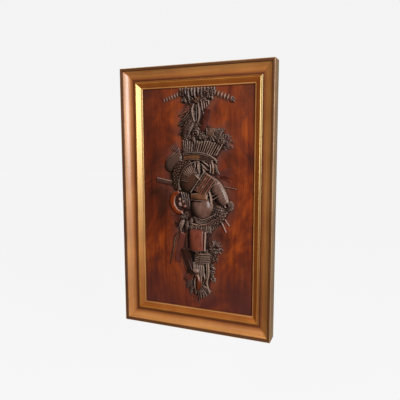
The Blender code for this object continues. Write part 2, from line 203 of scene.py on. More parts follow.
# Zones go by the distance in from the length's outer edge, as a share of its width. Some zones are painted
# highlights on edges and painted shade in steps and grooves.
railFinish = {
    "zones": [
        (0.0, (166, 138, 104)),
        # painted highlight on the rounded arris
        (0.015, (200, 158, 108)),
        (0.06, (98, 60, 26)),
        (0.205, (98, 60, 26)),
        # painted shade in the step between the strip and the cove
        (0.225, (56, 26, 8)),
        (0.27, (204, 144, 80)),
        (0.62, (194, 130, 66)),
        # painted shade darkening the cove towards its foot beside the slip
        (0.93, (116, 56, 14)),
        (1.0, (56, 26, 8)),
    ],
    "streaks": {"detail": 6.0, "rough": 0.6, "twist": 0.4},
    "streakSpan": (0.3, 0.75),
    "streakShade": (206, 196, 186),
    "patches": {"scale": 9.0, "detail": 3.0},
    "patchShades": ((226, 214, 204), (255, 252, 248)),
    "bump": (0.12, 0.0004),
    "shader": {"Roughness": 0.44, "Coat Weight": 0.5, "Coat Roughness": 0.25},
}

slipFinish = {
    "zones": [
        # painted shade at the slope's foot, in the groove beside the rail
        (0.0, (90, 48, 22)),
        (0.03, (130, 70, 20)),
        (0.235, (130, 70, 20)),
        # painted highlight on the ridge
        (0.26, (206, 150, 84)),
        (0.31, (170, 98, 28)),
        (0.78, (160, 80, 16)),
        # painted shade in the quirk between the bevel and the fillet
        (0.82, (124, 74, 36)),
        (0.845, (200, 142, 88)),
        (0.95, (200, 142, 88)),
        # painted shade where the fillet turns down to the sight edge
        (1.0, (110, 62, 32)),
    ],
    "streaks": {"detail": 5.0, "rough": 0.6, "twist": 0.3},
    "streakSpan": (0.3, 0.7),
    "streakShade": (218, 206, 190),
    "patches": {"scale": 14.0, "detail": 4.0},
    "patchShades": ((224, 208, 190), (255, 252, 246)),
    "bump": (0.1, 0.0003),
    "shader": {
        "Roughness": 0.37, "Metallic": 0.1, "Specular IOR Level": 1.0, "IOR": 1.68,
        "Specular Tint": (1.0, 0.94, 0.44, 1.0),
    },
}


def mouldingWood(name, finish, alongScale):
    # Tones by zone, with their painted highlights and painted shade, fine streaks along the length and worn
    # patches
    look = Recipe(name)
    zones = look.ramp(look.attribute("across"), finish["zones"])
    streaks = look.noise(look.here(alongScale), 1.0, **finish["streaks"])
    patches = look.noise(look.here(), **finish["patches"])
    grained = look.mix(look.fade(streaks, *finish["streakSpan"]), finish["streakShade"], white)
    worn = look.mix(look.fade(patches, 0.35, 0.7), *finish["patchShades"])
    colour = look.darken(look.darken(zones, grained), worn)
    return look.finish(colour, look.bump(streaks, *finish["bump"]), finish["shader"])


# Frame mouldings. A section point is (inward from the outer edge, depth behind the front).

rail = {
    "arris": 0.0012,
    "stripWidth": 0.0082,
    "stripFall": 0.0014,
    "stripEase": (0.0008, 0.0001),
    "stepFall": 0.0018,
    "stepDip": 0.0003,
    "stepShare": 0.4,
    "coveFall": 0.0180,
    "coveBend": 2.2,
    "coveSteps": 26,
    "lipThickness": 0.0032,
    "edgeFall": 0.0212,
}

slip = {
    "slopeWidth": 0.0064,
    "slopeRise": 0.0022,
    "slopeSteps": 5,
    "slopeHollow": (0.8, 0.06),
    "ridgeRadius": 0.0010,
    "ridgeTurn": (0.28, 0.50),
    "rounding": 5,
    "bevelFall": 0.0100,
    "filletWidth": 0.0045,
    "filletStep": 0.0009,
    "filletFall": 0.0024,
    "backDepth": 0.0357,
}


def railSection():
    face = panelFrame["railFace"]
    points = [(0.0, panelFrame["depth"])]
    for i in range(5):
        turn = pi / 2 * i / 4
        points.append((rail["arris"] * (1 - cos(turn)), rail["arris"] * (1 - sin(turn))))
    easeIn, easeUp = rail["stripEase"]
    points.append((rail["stripWidth"] - easeIn, rail["stripFall"] - easeUp))
    points.append((rail["stripWidth"], rail["stripFall"] + rail["stepDip"]))
    coveStart = rail["stripWidth"] + rail["stepShare"] * rail["stepFall"]
    coveWidth = face - coveStart
    for i in range(rail["coveSteps"] + 1):
        t = i / rail["coveSteps"]
        fall = rail["coveFall"] * (1 - (1 - t) ** rail["coveBend"])
        points.append((coveStart + coveWidth * t, rail["stripFall"] + rail["stepFall"] + fall))
    lip = rail["edgeFall"] + rail["lipThickness"]
    points += [(face, lip), (panelFrame["rebate"], lip), (panelFrame["rebate"], panelFrame["depth"])]
    return points


def slipSection():
    outer = panelFrame["railFace"] + panelFrame["gap"]
    ridgeAt = outer + slip["slopeWidth"]
    ridge = rail["edgeFall"] - slip["slopeRise"]
    tongue = rail["edgeFall"] + rail["lipThickness"] + panelFrame["gap"]
    bevelEnd = sightInset - slip["filletWidth"]
    foot = ridge + slip["bevelFall"] + slip["filletStep"]
    points = [(outer, tongue), (outer, rail["edgeFall"])]
    straight, hollow = slip["slopeHollow"]
    for i in range(slip["slopeSteps"]):
        # a hollow slope, as a scraper leaves it
        t = (i + 1) / (slip["slopeSteps"] + 1)
        points.append((outer + (slip["slopeWidth"] - slip["ridgeRadius"]) * t,
                       rail["edgeFall"] - slip["slopeRise"] * (straight * t + hollow * sin(2 * pi * t))))
    first, sweep = slip["ridgeTurn"]
    for i in range(slip["rounding"] + 1):
        turn = pi * (first + sweep * i / slip["rounding"])
        points.append((ridgeAt - slip["ridgeRadius"] * cos(turn),
                       ridge + slip["ridgeRadius"] * (1 - sin(turn))))
    points.append((bevelEnd, ridge + slip["bevelFall"]))
    filletStart = slip["filletStep"] / 2
    for i in range(slip["rounding"] + 1):
        turn = pi / 2 * i / slip["rounding"]
        points.append((bevelEnd + filletStart + (slip["filletWidth"] - filletStart) * sin(turn),
                       foot + slip["filletFall"] * (1 - cos(turn))))
    inner = panelFrame["rebate"] + panelFrame["gap"]
    points += [(sightInset, slip["backDepth"]), (inner, slip["backDepth"]), (inner, tongue)]
    return points


def mouldingLength(name, section, length, across, turn, firstInward, lastInward):
    # One vertex is drawn round the section, filled, pulled along the length and cut at the mitres
    pickNone()
    bpy.ops.mesh.primitive_plane_add(size=0.001)
    piece = bpy.context.object
    piece.name = name
    spare = 0.01
    places = [Vector((-length / 2 - spare, depth - panelFrame["depth"], across / 2 - inward))
              for inward, depth in section]
    bpy.ops.object.mode_set(mode="EDIT")
    bpy.ops.mesh.select_all(action="SELECT")
    bpy.ops.mesh.merge(type="CENTER")
    bpy.ops.transform.translate(value=places[0])
    for here, there in zip(places, places[1:]):
        bpy.ops.mesh.extrude_region_move(TRANSFORM_OT_translate={"value": there - here})
    bpy.ops.mesh.select_all(action="SELECT")
    bpy.ops.mesh.edge_face_add()
    bpy.ops.mesh.extrude_region_move(TRANSFORM_OT_translate={"value": (length + 2 * spare, 0, 0)})
    mitreAt = length / 2 - panelFrame["gap"] / sqrt(2)
    for side in (-1, 1):
        bpy.ops.mesh.select_all(action="SELECT")
        bpy.ops.mesh.bisect(
            plane_co=(side * mitreAt, 0, across / 2), plane_no=(side, 0, -1),
            use_fill=True, clear_outer=True)
    bpy.ops.mesh.select_all(action="SELECT")
    bpy.ops.mesh.normals_make_consistent(inside=False)
    bpy.ops.object.mode_set(mode="OBJECT")
    zone = piece.data.attributes.new("across", "FLOAT", "POINT")
    for i, vert in enumerate(piece.data.vertices):
        inward = across / 2 - vert.co.z
        zone.data[i].value = (inward - firstInward) / (lastInward - firstInward)
    piece.rotation_euler = (0, turn, 0)
    piece.location = (0, 0, middleZ)
    bpy.ops.object.transform_apply()
    smoothByAngle(piece, 24)
    return piece


def buildMouldings():
    face, width, height = panelFrame["railFace"], panelFrame["width"], panelFrame["height"]
    kinds = (
        ("Rail", railSection(), (0.0, face), {
            "Level": mouldingWood("railLevelWood", railFinish, (5.0, 260.0, 260.0)),
            "Upright": mouldingWood("railUprightWood", railFinish, (260.0, 260.0, 5.0)),
        }),
        ("Slip", slipSection(), (face + panelFrame["gap"], sightInset), {
            "Level": mouldingWood("slipLevelWood", slipFinish, (7.0, 320.0, 320.0)),
            "Upright": mouldingWood("slipUprightWood", slipFinish, (320.0, 320.0, 7.0)),
        }),
    )
    for side, length, across, turn, lie in (
        ("top", width, height, 0.0, "Level"),
        ("bottom", width, height, pi, "Level"),
        ("left", height, width, -pi / 2, "Upright"),
        ("right", height, width, pi / 2, "Upright"),
    ):
        for kind, section, span, woods in kinds:
            made = mouldingLength(side + kind + "Moulding", section, length, across, turn, *span)
            made.data.materials.append(woods[lie])
            standFor(made, side + "_" + kind.lower())
    print("mouldings made")


buildMouldings()


# The carving. x runs right, z up and high out of the ground, in millimetres from the middle
# of the sight opening.

carving = {
    "unit": 0.001,
    "groundY": -0.014,
    "backY": -0.004,
    "level": 0.00002,
    "rootDepth": 1.6,
    "grain": 0.0009,
    "quickGrain": 0.0018,
    "triangles": 150000,
    "groundStep": 0.024,
    "sliver": 0.000005,
}
unit = carving["unit"]
groundY = carving["groundY"]

# Tones along the carving's colour ramp
orange = 0.10
red = 0.28
tan = 0.46
brown = 0.64
umber = 0.82
mauve = 1.0

# Fine cuts, as two waves whose troughs the material darkens with painted shade and whose crests it lights
# with a painted highlight: how far each wave turns in a millimetre across the shape and along it, before
# the pitch divides it
cutKinds = {
    "plain": (0, 0, 0, 0),
    "long": (1, 0, 1, 0),
    "round": (0, 1, 0, 1),
    "vein": (-0.9, 1, -0.9, 1),
    "cross": (1, 1, 1, -1),
}
usualCuts = {
    "leaf": ("vein", 5.0, 0.7),
    "petal": ("long", 3.0, 0.4),
    "tongue": ("long", 4.0, 0.3),
    "fold": ("long", 5.0, 0.5),
    "strap": ("long", 3.4, 0.25),
    "plait": ("cross", 11.0, 1.0),
    "net": ("cross", 10.0, 0.9),
    "seeds": ("cross", 5.0, 0.8),
}
noCuts = ("plain", 1.0, 0.0)

shapeStore = {"points": [], "faces": [], "locals": [], "owners": [], "rows": [], "count": 0}
masters = {}
dice = random.Random(31)


def keepMaster(name, piece):
    bpy.ops.object.mode_set(mode="EDIT")
    allToTriangles()
    bpy.ops.mesh.normals_make_consistent(inside=False)
    bpy.ops.object.mode_set(mode="OBJECT")
    masters[name] = (vertexPlaces(piece.data), faceCorners(piece.data))
    bpy.data.objects.remove(piece)


def sheetMaster(name, across, along, heightAt, widthAt):
    # A grid carved by a rule, whose rim then goes down to the root and is closed
    pickNone()
    bpy.ops.mesh.primitive_grid_add(x_subdivisions=across, y_subdivisions=along, size=2)
    piece = bpy.context.object
    for vert in piece.data.vertices:
        s, t = vert.co.x, (vert.co.y + 1) / 2
        vert.co = (s * widthAt(t), t, max(heightAt(s, t), 0.0))
    bpy.ops.object.mode_set(mode="EDIT")
    bpy.ops.mesh.select_all(action="SELECT")
    bpy.ops.mesh.region_to_loop()
    bpy.ops.mesh.extrude_region_move(TRANSFORM_OT_translate={"value": (0, 0, -1)})
    bpy.ops.transform.resize(value=(1, 1, 0), center_override=(0, 0, -1))
    bpy.ops.mesh.edge_face_add()
    keepMaster(name, piece)


def domeMaster(name, segments, rings, bumpAt):
    # A ball, carved by a rule of the angle and of the distance from the top, with a straight root
    pickNone()
    bpy.ops.mesh.primitive_uv_sphere_add(segments=segments, ring_count=rings, radius=1)
    piece = bpy.context.object
    for vert in piece.data.vertices:
        out = min(hypot(vert.co.x, vert.co.y), 1.0)
        if vert.co.z > -0.01:
            vert.co.z += bumpAt(atan2(vert.co.y, vert.co.x), out)
        else:
            vert.co.z = -1.0
    keepMaster(name, piece)


def ringMaster():
    pickNone()
    bpy.ops.mesh.primitive_torus_add(major_segments=32, minor_segments=14, major_radius=1, minor_radius=0.3)
    piece = bpy.context.object
    for vert in piece.data.vertices:
        if vert.co.z < -0.01:
            vert.co.z = -1.0
    keepMaster("ring", piece)


def groove(value, width):
    return exp(-(value / width) ** 2)


def even(t):
    return 1.0


def leafWidth(t):
    return (0.10 + 0.90 * sin(pi * t ** 0.75)) * (1 + 0.08 * cos(12 * pi * t))


def plainLeafWidth(t):
    return 0.10 + 0.90 * sin(pi * t ** 0.8)


def tongueWidth(t):
    return 0.35 + 0.65 * sin(pi * (0.15 + 0.7 * t))


def hornWidth(t):
    return 0.55 + 0.45 * sin(pi * t)


def roundTop(s, t=0.0):
    return sqrt(max(1 - s * s, 0.0))


def leafHeight(s, t):
    # Raised at the rim and along the middle vein, hollow between them
    vein = groove(sin(pi * (5 * t - 1.3 * abs(s))), 0.35) * min(abs(s) * 3, 1)
    return 0.72 + 0.28 * abs(s) - 0.5 * abs(s) ** 8 + 0.34 * groove(s, 0.13) - 0.18 * vein


def petalHeight(s, t):
    cup = 0.50 + 0.50 * abs(s) ** 1.6
    return cup * (0.55 + 0.45 * sin(pi * min(t * 0.8 + 0.1, 1))) - 0.16 * groove(s, 0.14)


def tongueHeight(s, t):
    return roundTop(s) - 0.30 * groove(s - 0.3, 0.13) - 0.22 * groove(s + 0.35, 0.13)


def foldHeight(s, t):
    return 0.62 * roundTop(s) + 0.38 * abs(cos(2.5 * pi * s)) * roundTop(s)


def plaitHeight(s, t):
    # Diamonds between two sets of slanting cuts
    first, second = (abs(sin(pi * (2.0 * s + slant * t))) for slant in (13, -13))
    return 0.45 * roundTop(s) + 0.55 * min(first, second) ** 0.6


def twistHeight(s, t):
    return roundTop(s) * (0.72 + 0.28 * cos(2 * pi * (8 * t + 0.9 * s)))


def beadHeight(s, t):
    return roundTop(s) * (0.45 + 0.55 * abs(sin(pi * 11 * t)))


def netBump(angle, out):
    x, y = out * cos(angle), out * sin(angle)
    cords = max(groove(sin(pi * 2.4 * way), 0.38) for way in (x + y, x - y))
    return 0.34 * cords * (1 - out ** 6)


def seedBump(angle, out):
    return 0.14 * cos(14 * out * cos(angle)) * cos(14 * out * sin(angle))


def makeMasters():
    for name, across, along, heightAt, widthAt in (
        ("leaf", 16, 42, leafHeight, leafWidth),
        ("blade", 8, 20, lambda s, t: 1 - abs(s) ** 1.2, plainLeafWidth),
        ("petal", 10, 14, petalHeight, plainLeafWidth),
        ("tongue", 14, 20, tongueHeight, tongueWidth),
        ("fold", 18, 24, foldHeight, even),
        ("strap", 12, 30, roundTop, even),
        ("rod", 10, 12, roundTop, even),
        ("body", 28, 48, roundTop, hornWidth),
        ("plait", 40, 150, plaitHeight, tongueWidth),
        ("twist", 10, 90, twistHeight, even),
        ("beads", 10, 90, beadHeight, even),
    ):
        sheetMaster(name, across, along, heightAt, widthAt)
    domeMaster("dome", 48, 32, lambda angle, out: 0.0)
    domeMaster("net", 96, 60, netBump)
    domeMaster("seeds", 48, 32, seedBump)
    ringMaster()


def store(x, z, high, faces, across, along, tone, cuts):
    kind, pitch, depth = cuts
    if kind == "vein":
        across = np.abs(across)
    turns = [turn / pitch for turn in cutKinds[kind]]
    shapeStore["points"].append(
        np.column_stack([x * unit, groundY - high * unit, middleZ + z * unit]))
    shapeStore["faces"].append(faces[:, ::-1] + shapeStore["count"])
    shapeStore["locals"].append(np.column_stack([across, along]))
    shapeStore["owners"].append(np.full(len(faces), len(shapeStore["rows"])))
    shapeStore["rows"].append((tone, dice.random(), depth, *turns))
    shapeStore["count"] += len(x)


def smoothRoute(points, steps=60):
    # A Catmull-Rom curve through the points
    ends = np.array([points[0], *points, points[-1]], float)
    spans = len(points) - 1
    place = np.minimum(np.linspace(0, spans, steps + 1), spans - 1e-9)
    k = place.astype(int)
    t = (place - k)[:, None]
    a, b, c, d = ends[k], ends[k + 1], ends[k + 2], ends[k + 3]
    return 0.5 * (2 * b + (c - a) * t + (2 * a - 5 * b + 4 * c - d) * t ** 2
                  + (3 * b - a - 3 * c + d) * t ** 3)


def lay(kind, route, halfWidth, drop=0.6, tone=umber, cuts=None):
    # A copy of a master, bent along a route of (x, z, high)
    points, faces = masters[kind]
    track = smoothRoute(route)
    steps = np.arange(len(track))
    place = points[:, 1] * (len(track) - 1)
    hereX, hereZ, crest = (np.interp(place, steps, track[:, i]) for i in range(3))
    ahead = np.gradient(track[:, :2], axis=0)
    length = np.linalg.norm(ahead, axis=1)
    ahead /= length[:, None] + 1e-9
    aheadX, aheadZ = (np.interp(place, steps, ahead[:, i]) for i in range(2))
    high = crest * (1 - drop + drop * points[:, 2])
    high = np.where(points[:, 2] < -0.5, -carving["rootDepth"], high)
    out = points[:, 0] * halfWidth
    store(hereX - aheadZ * out, hereZ + aheadX * out, high, faces, out,
          np.interp(place, steps, np.cumsum(length)), tone, cuts or usualCuts.get(kind, noCuts))


strap = functools.partial(lay, "strap")
tongue = functools.partial(lay, "tongue")
blade = functools.partial(lay, "blade")


def mound(kind, x, z, wide, tall, high, lean=0.0, tone=umber, cuts=None):
    points, faces = masters[kind]
    turn = radians(lean)
    across, up = points[:, 0] * wide, points[:, 1] * tall
    height = np.where(points[:, 2] <= -0.99, -carving["rootDepth"], np.maximum(points[:, 2], 0) * high)
    store(x + across * cos(turn) + up * sin(turn), z - across * sin(turn) + up * cos(turn),
          height, faces, across, up, tone, cuts or usualCuts.get(kind, noCuts))


def hoop(x, z, radius, thick, high):
    points, faces = masters["ring"]
    flat = np.hypot(points[:, 0], points[:, 1])
    out = radius + thick * (flat - 1) / 0.3
    height = high - thick + points[:, 2] / 0.3 * thick
    height = np.where(points[:, 2] <= -0.99, -carving["rootDepth"], height)
    store(x + points[:, 0] / flat * out, z + points[:, 1] / flat * out, height, faces,
          out, out, umber, noCuts)


def rod(start, end, radius, tone=umber, cuts=None):
    lay("rod", [(start[0], start[1], start[2] + radius), (end[0], end[1], end[2] + radius)], radius,
        drop=radius / (max(start[2], end[2]) + radius), tone=tone, cuts=cuts)


def leaf(root, tip, halfWidth, high, bow=0.0, kind="leaf", tone=umber, cuts=None):
    # bow pushes the middle of the leaf sideways
    along = Vector((tip[0] - root[0], tip[1] - root[1]))
    side = Vector((-along.y, along.x)).normalized() * bow
    middle = ((root[0] + tip[0]) / 2 + side.x, (root[1] + tip[1]) / 2 + side.y, high)
    lay(kind, [(*root, 0.75 * high), middle, (*tip, 0.45 * high)], halfWidth, tone=tone, cuts=cuts)


def off(x, z, out, angle):
    # The place so far out at an angle
    return (x + out * cos(angle), z + out * sin(angle))


def petals(x, z, inner, outer, count, halfWidth, high, start):
    for i in range(count):
        out = Vector(off(0, 0, 1, radians(start) + 2 * pi * i / count))
        leaf((x + out.x * inner, z + out.y * inner), (x + out.x * outer, z + out.y * outer),
             halfWidth, high, kind="petal")


def heap(x, z, wide, tall, count, high, size=10.0, tone=umber, kinds=("petal", "blade", "leaf")):
    # Petals and small leaves thrown together, lower towards the edge of the patch
    for i in range(count):
        angle = i * pi * (3 - sqrt(5)) + dice.uniform(-0.4, 0.4)
        out = sqrt((i + 0.5) / count)
        hereX, hereZ = x + wide * out * cos(angle), z + tall * out * sin(angle)
        lean = dice.uniform(0, 2 * pi)
        length = size * dice.uniform(0.7, 1.15)
        here = high * (1 - 0.35 * out ** 2) * dice.uniform(0.72, 1.0)
        leaf(off(hereX, hereZ, -length / 2, lean), off(hereX, hereZ, length / 2, lean),
             size * dice.uniform(0.22, 0.34), here, dice.uniform(-1.5, 1.5), dice.choice(kinds), tone)


# The trophy, from the top down

def filling():
    # Low dark brown ground between the pieces of the trophy, so that no bare board shows through it:
    # painted shade in the gaps between the pieces
    for route, wide in (
        ([(0, 344, 5), (0, 306, 5), (2, 240, 4)], 22),
        ([(12, 222, 5), (10, 180, 5), (8, 130, 5)], 48),
        ([(-6, 130, 5), (0, 80, 5), (6, 30, 5)], 52),
        ([(2, 40, 5), (0, -20, 5), (0, -108, 5)], 42),
        ([(0, -100, 4), (4, -150, 4), (10, -204, 4)], 34),
        ([(12, -196, 4), (12, -250, 4), (10, -296, 3)], 26),
    ):
        strap(route, wide, 0.5, brown, noCuts)


def topSwag():
    # Uneven folds under the frame, a bunch of petals below them and an arm of bound bars on each side
    for x, low, wide, high in (
        (-53, 326, 4, 8), (-44, 318, 4.4, 10), (-34, 323, 4.8, 13), (-24, 315, 4.2, 14), (-13, 325, 5, 15),
        (-3, 318, 4.4, 15), (8, 326, 5, 15), (19, 320, 4.4, 14), (29, 325, 4.8, 13), (39, 317, 4.4, 11),
        (49, 322, 4.4, 9), (58, 327, 3.8, 8),
    ):
        tongue([(0.92 * x + 1, low, high - 3), (x, low + 14, high), (1.02 * x, 351, high - 2)], wide, 0.75,
            brown)
    heap(-26, 318, 24, 13, 26, 13, 12)
    heap(28, 321, 28, 15, 30, 13, 12)
    heap(4, 316, 16, 14, 18, 16, 11, tan)
    heap(-30, 337, 26, 12, 34, 14, 12, brown, ("blade", "leaf"))
    heap(30, 338, 28, 12, 34, 14, 12, brown, ("blade", "leaf"))
    for i in range(6):
        x = -63 - 9.2 * i
        z = 331 - 3 * i
        blade([(x - 2.6, z + 9 - 0.3 * i, 2.5), (x, z, 8 - 0.4 * i), (x + 2.6, z - 9 + 0.3 * i, 2.5)],
            3.4, 0.9, brown)
    for i in range(6):
        x = 62 + 10.2 * i
        z = 333 - 4 * i
        blade([(x + 2.6, z + 10, 3), (x, z, 10 - 0.3 * i), (x - 2.6, z - 10, 3)], 3.4, 0.9, mauve)
    heap(119, 310, 6, 8, 8, 6, 8)


def hangingKnot():
    tongue([(-6, 303, 11), (-11, 285, 15), (-8, 265, 16), (-3, 246, 13)], 3.2, 0.8)
    lay("twist", [(-12, 300, 9), (-17, 284, 12), (-14, 262, 13), (-8, 246, 11)], 2.6, 0.8, brown)
    tongue([(6, 304, 10), (12, 285, 14), (12, 262, 14), (6, 243, 11)], 2.8, 0.8)
    lay("twist", [(1, 300, 9), (2, 276, 10), (2, 250, 10)], 2.2, 0.8)
    for i in range(4):
        tongue([(18 + 7.5 * i, 312, 9), (20 + 7 * i, 282 + 5 * i, 5)], 3, 0.8, mauve)
    lay("fold", [(38, 286, 2), (28, 254, 2.8), (18, 222, 3.4)], 11, 0.85, red, noCuts)
    heap(1, 234, 12, 14, 16, 12, 8)


def leftLeaves():
    # Long drooping leaves, each one over the one above it
    ribs = ("long", 7, 0.7)
    leaf((-6, 302), (-62, 266), 12, 7, 7, tone=orange, cuts=ribs)
    leaf((-8, 284), (-62, 236), 15, 11, 8, tone=brown, cuts=ribs)
    leaf((-12, 262), (-58, 208), 13, 14, 8, tone=umber, cuts=ribs)
    leaf((-16, 250), (-44, 196), 8, 18, -4, "tongue")
    leaf((-6, 244), (-28, 196), 6, 15, -4)


def flowers():
    # The heap in the basket, from left to right
    heap(-24, 198, 20, 16, 34, 15, 10)
    hoop(1, 213, 8.5, 2.2, 14)
    mound("seeds", 1, 213, 6, 6, 15)
    petals(1, 213, 10, 17, 9, 3.2, 10, 10)
    leaf((-8, 208), (2, 174), 5, 17, -2)
    heap(24, 200, 22, 13, 34, 16, 10)
    for i in range(7):
        blade([(38 + 3 * i, 204, 14), (34 + 5 * i, 229, 8)], 2.2, 0.8, tan)
    for i in range(7):
        blade([(66 + 2.2 * i, 206, 12), (62 + 5.4 * i, 229 - abs(i - 3), 7)], 2.2, 0.8)
    heap(62, 201, 26, 16, 52, 15, 10)
    petals(80, 190, 6, 17, 11, 3.6, 13, 10)
    petals(80, 190, 2, 10, 8, 3, 17, 28)
    heap(93, 186, 15, 24, 34, 9, 10, brown)
    heap(104, 182, 15, 26, 22, 4.5, 11, red)


def basket():
    # Fanned reeds over a swelling body, a bright rolled rim below them and a plain foot band
    strap([(-38, 168, 8), (10, 170, 12), (74, 164, 7)], 17, 0.15, brown, noCuts)
    for i in range(17):
        t = i / 16
        foot = -38 + 104 * t
        high = 8 + 7 * sin(pi * (0.1 + 0.8 * t))
        sway = dice.uniform(-1.6, 1.6)
        rod((foot + 0.5 * sway, 153 - 22 * max(t - 0.6, 0), high + dice.uniform(-1.5, 0.5)),
            (-43 + 134 * t + sway, 190 - 6 * t + 2 * sway, high - 1), dice.uniform(1.6, 2.2),
            (brown, umber, brown)[i % 3])
    rim = [(-42, 150, 16), (0, 154, 21), (30, 151, 20), (54, 141, 16), (70, 127, 10)]
    strap(rim, 2, 0.5)
    strap([(x, z - 5, high - 1) for x, z, high in rim], 1.4, 0.5, tan)
    strap([(-40, 138, 13), (-12, 140, 16), (12, 140, 17)], 8, 0.12, tan)
    strap([(12, 140, 17), (36, 136, 16), (56, 126, 10)], 8, 0.12, brown)
    strap([(-41, 130, 14), (-12, 131, 17), (14, 131, 18)], 1.4, 0.5, mauve)
    lay("beads", [(14, 130, 18), (34, 127, 16), (56, 116, 9)], 2.2, 0.4)


def hatTop(x, z):
    # The height of the hat's brim at a place
    turn = radians(-22)
    u = ((x + 24) * cos(turn) - (z - 72) * sin(turn)) / 42
    v = ((x + 24) * sin(turn) + (z - 72) * cos(turn)) / 54
    return 19 * roundTop(min(hypot(u, v), 0.98))


def strawHat():
    # The crown lies at the upper left, the plaited band round it and the wide brim in front
    mound("dome", -78, 122, 38, 25, 13, -46, umber, ("long", 6, 0.3))
    strap([(-104, 112, 6), (-98, 132, 8), (-74, 152, 8)], 1.8, 0.5, mauve)
    mound("dome", -24, 72, 42, 54, 19, -22, brown, noCuts)
    band = [(-18, 128, 13), (-48, 114, 16), (-64, 86, 16), (-66, 56, 13), (-58, 34, 10)]
    lay("plait", band, 13, 0.35, tan)
    strap([(-4, 124, 17), (-32, 108, 19), (-48, 84, 19), (-55, 60, 18), (-56, 34, 14)], 1.6, 0.5)
    strap([(-28, 134, 10), (-62, 118, 12), (-78, 90, 12), (-78, 62, 10), (-68, 38, 8)], 1.8, 0.5)
    for i in range(13):
        angle = radians(96 + 6.4 * i)
        route = []
        for out in (62, 54, 45, 36):
            x, z = off(12, 58, out, angle)
            route.append((x, z, hatTop(x, z) + (5 if i < 9 else 3)))
        blade(route, 2.6, 0.6, mauve)


def bow():
    # Sharp folds of ribbon, deep between them
    leaf((-2, 130), (-3, 94), 3.4, 17, 2, "blade", brown)
    leaf((6, 132), (8, 84), 3.2, 21, 3, "blade", brown)
    leaf((12, 130), (15, 78), 3.6, 22, -2, "blade")
    leaf((14, 132), (45, 108), 3.6, 20, 3, "blade")
    leaf((20, 120), (42, 97), 3.4, 17, -2, "blade", brown)
    leaf((22, 110), (30, 82), 4, 17, 2, "blade")
    tongue([(52, 126, 12), (58, 108, 14), (56, 88, 11)], 4, 0.7, tan)
    strap([(45, 124, 11), (50, 108, 13), (48, 90, 11)], 1.6, 0.7, mauve)
    leaf((62, 118), (68, 88), 4.5, 9, 2)
    leaf((60, 104), (78, 84), 5, 7)
    for i in range(5):
        leaf((-4 + 4.4 * i, 90 - 3.4 * i), (12 + 3 * i, 68 - 3 * i), 2.2, 19, 0, "blade", mauve)


def panPipes():
    # A bundle of pipes on a slant, with a bright edge strip on each side
    for i in range(6):
        across = 6.6 * (i - 2.5)
        rod((53 + 0.84 * across, 82 - 0.54 * across, 19), (16 + 0.84 * across, 27 - 0.54 * across, 21), 2.5,
            red if i % 2 else tan, ("long", 3, 0.5))
    rod((30, 92, 17), (-14, 28, 20), 1.3)
    rod((70, 72, 15), (42, 26, 18), 1.5)


def horn():
    # A stout leather body running down to the right, bound twice and ending in a frill
    lay("body", [(44, 76, 12), (62, 50, 16), (82, 18, 16), (98, -8, 11)], 23, 0.8, 0.9, ("round", 9, 0.12))
    for x, z, shift in ((50, 52, 0), (54, 44, 0), (64, 20, 2), (69, 11, 2)):
        strap([(x - 16, z - 8 + shift, 13), (x + 2, z + 4, 19.5), (x + 20, z + 17, 13)], 1.5, 0.4, mauve)
    for i in range(11):
        angle = radians(-112 + 15 * i)
        leaf(off(96, -8, 6, angle), off(104, -10, 21, angle), 3.4, 10, 0, "petal")
    hoop(103, -10, 7, 2.4, 12)
    heap(106, -12, 9, 10, 10, 11, 8)


def gourd():
    mound("dome", 21, -19, 39, 44, 27, 0, mauve, noCuts)
    strap([(-12, 14, 20), (14, 16, 27), (42, 13, 20)], 8.5, 0.12, tan, ("long", 5, 0.3))
    strap([(-13, 23, 19), (14, 26, 25), (43, 22, 19)], 1.6, 0.4, orange)
    strap([(-13, 5, 21), (14, 5, 28.6), (43, 3, 21)], 1.4, 0.4, mauve)
    for i in range(4):
        low = -52 - 5.6 * i
        high = 20 - 2.4 * i
        strap([(-4 + i, low + 2, high - 3), (30, low - 3, high + 1), (68 - i, low + 15, 15 - 2 * i)],
              1.7, 0.5, mauve if i in (0, 3) else brown)
    leaf((-14, -54), (-22, -84), 6, 12)
    tongue([(46, 36, 18), (52, 16, 21), (54, -10, 19)], 3.2, 0.7, mauve)


def net():
    # Knotted cloth to the right of the gourd
    mound("net", 74, -32, 26, 25, 11, -30, mauve)
    lay("plait", [(40, -68, 11), (64, -66, 12), (86, -50, 12), (100, -28, 9)], 8, 0.35, mauve)
    strap([(38, -57, 12), (62, -56, 13), (82, -42, 13), (95, -20, 10)], 1.4, 0.5, mauve)


def sideStaffs():
    rod((74, -44, 2), (99, -95, 2), 3, red)
    rod((84, -40, 2), (109, -74, 2), 2.8, red)
    rod((70, 51, 3), (131, 42, 1.2), 2, red)
    rod((58, 80, 5), (82, 50, 3), 2, brown)
    strap([(-74, 53, 9), (-106, 58, 8), (-138, 64, 6)], 6.5, 0.3, brown)
    strap([(-76, 60, 10), (-106, 65, 9), (-138, 71, 7)], 1.2, 0.5, mauve)
    for i in range(5):
        blade([(-56 - 4 * i, 150 - i, 4), (-64 - 5.4 * i, 172 - 2 * i, 3.4),
               (-76 - 6.4 * i, 196 - 4 * i, 1.4)], 1.9, 0.8, red)
    for i in range(5):
        leaf((76, 90 - 4 * i), (122 - 4 * abs(i - 2), 104 - 11 * i), 4, 1.3, 3, "blade", red)


def leftFruits():
    crescent = [(-60, 28, 7), (-79, 14, 9), (-83, -12, 9), (-68, -36, 8), (-48, -40, 6)]
    lay("body", crescent, 9, 0.5, 0, noCuts)
    mound("dome", -55, -12, 8, 9, 14, 0, mauve)
    mound("dome", -44, -3, 7, 10, 14, 0, mauve)
    mound("dome", -39, -18, 7, 7, 13, 0, red)
    mound("dome", -56, 3, 5, 6, 12, 0, mauve)
    for i in range(4):
        tongue([(-52 + 8 * i, 27, 8), (-46 + 7 * i, 4, 10), (-40 + 6 * i, -26, 8)], 3.6, 0.5,
            (umber, brown)[i % 2])
    heap(-40, -50, 16, 13, 22, 9, 9)
    heap(-32, 14, 10, 14, 10, 10, 9, brown)


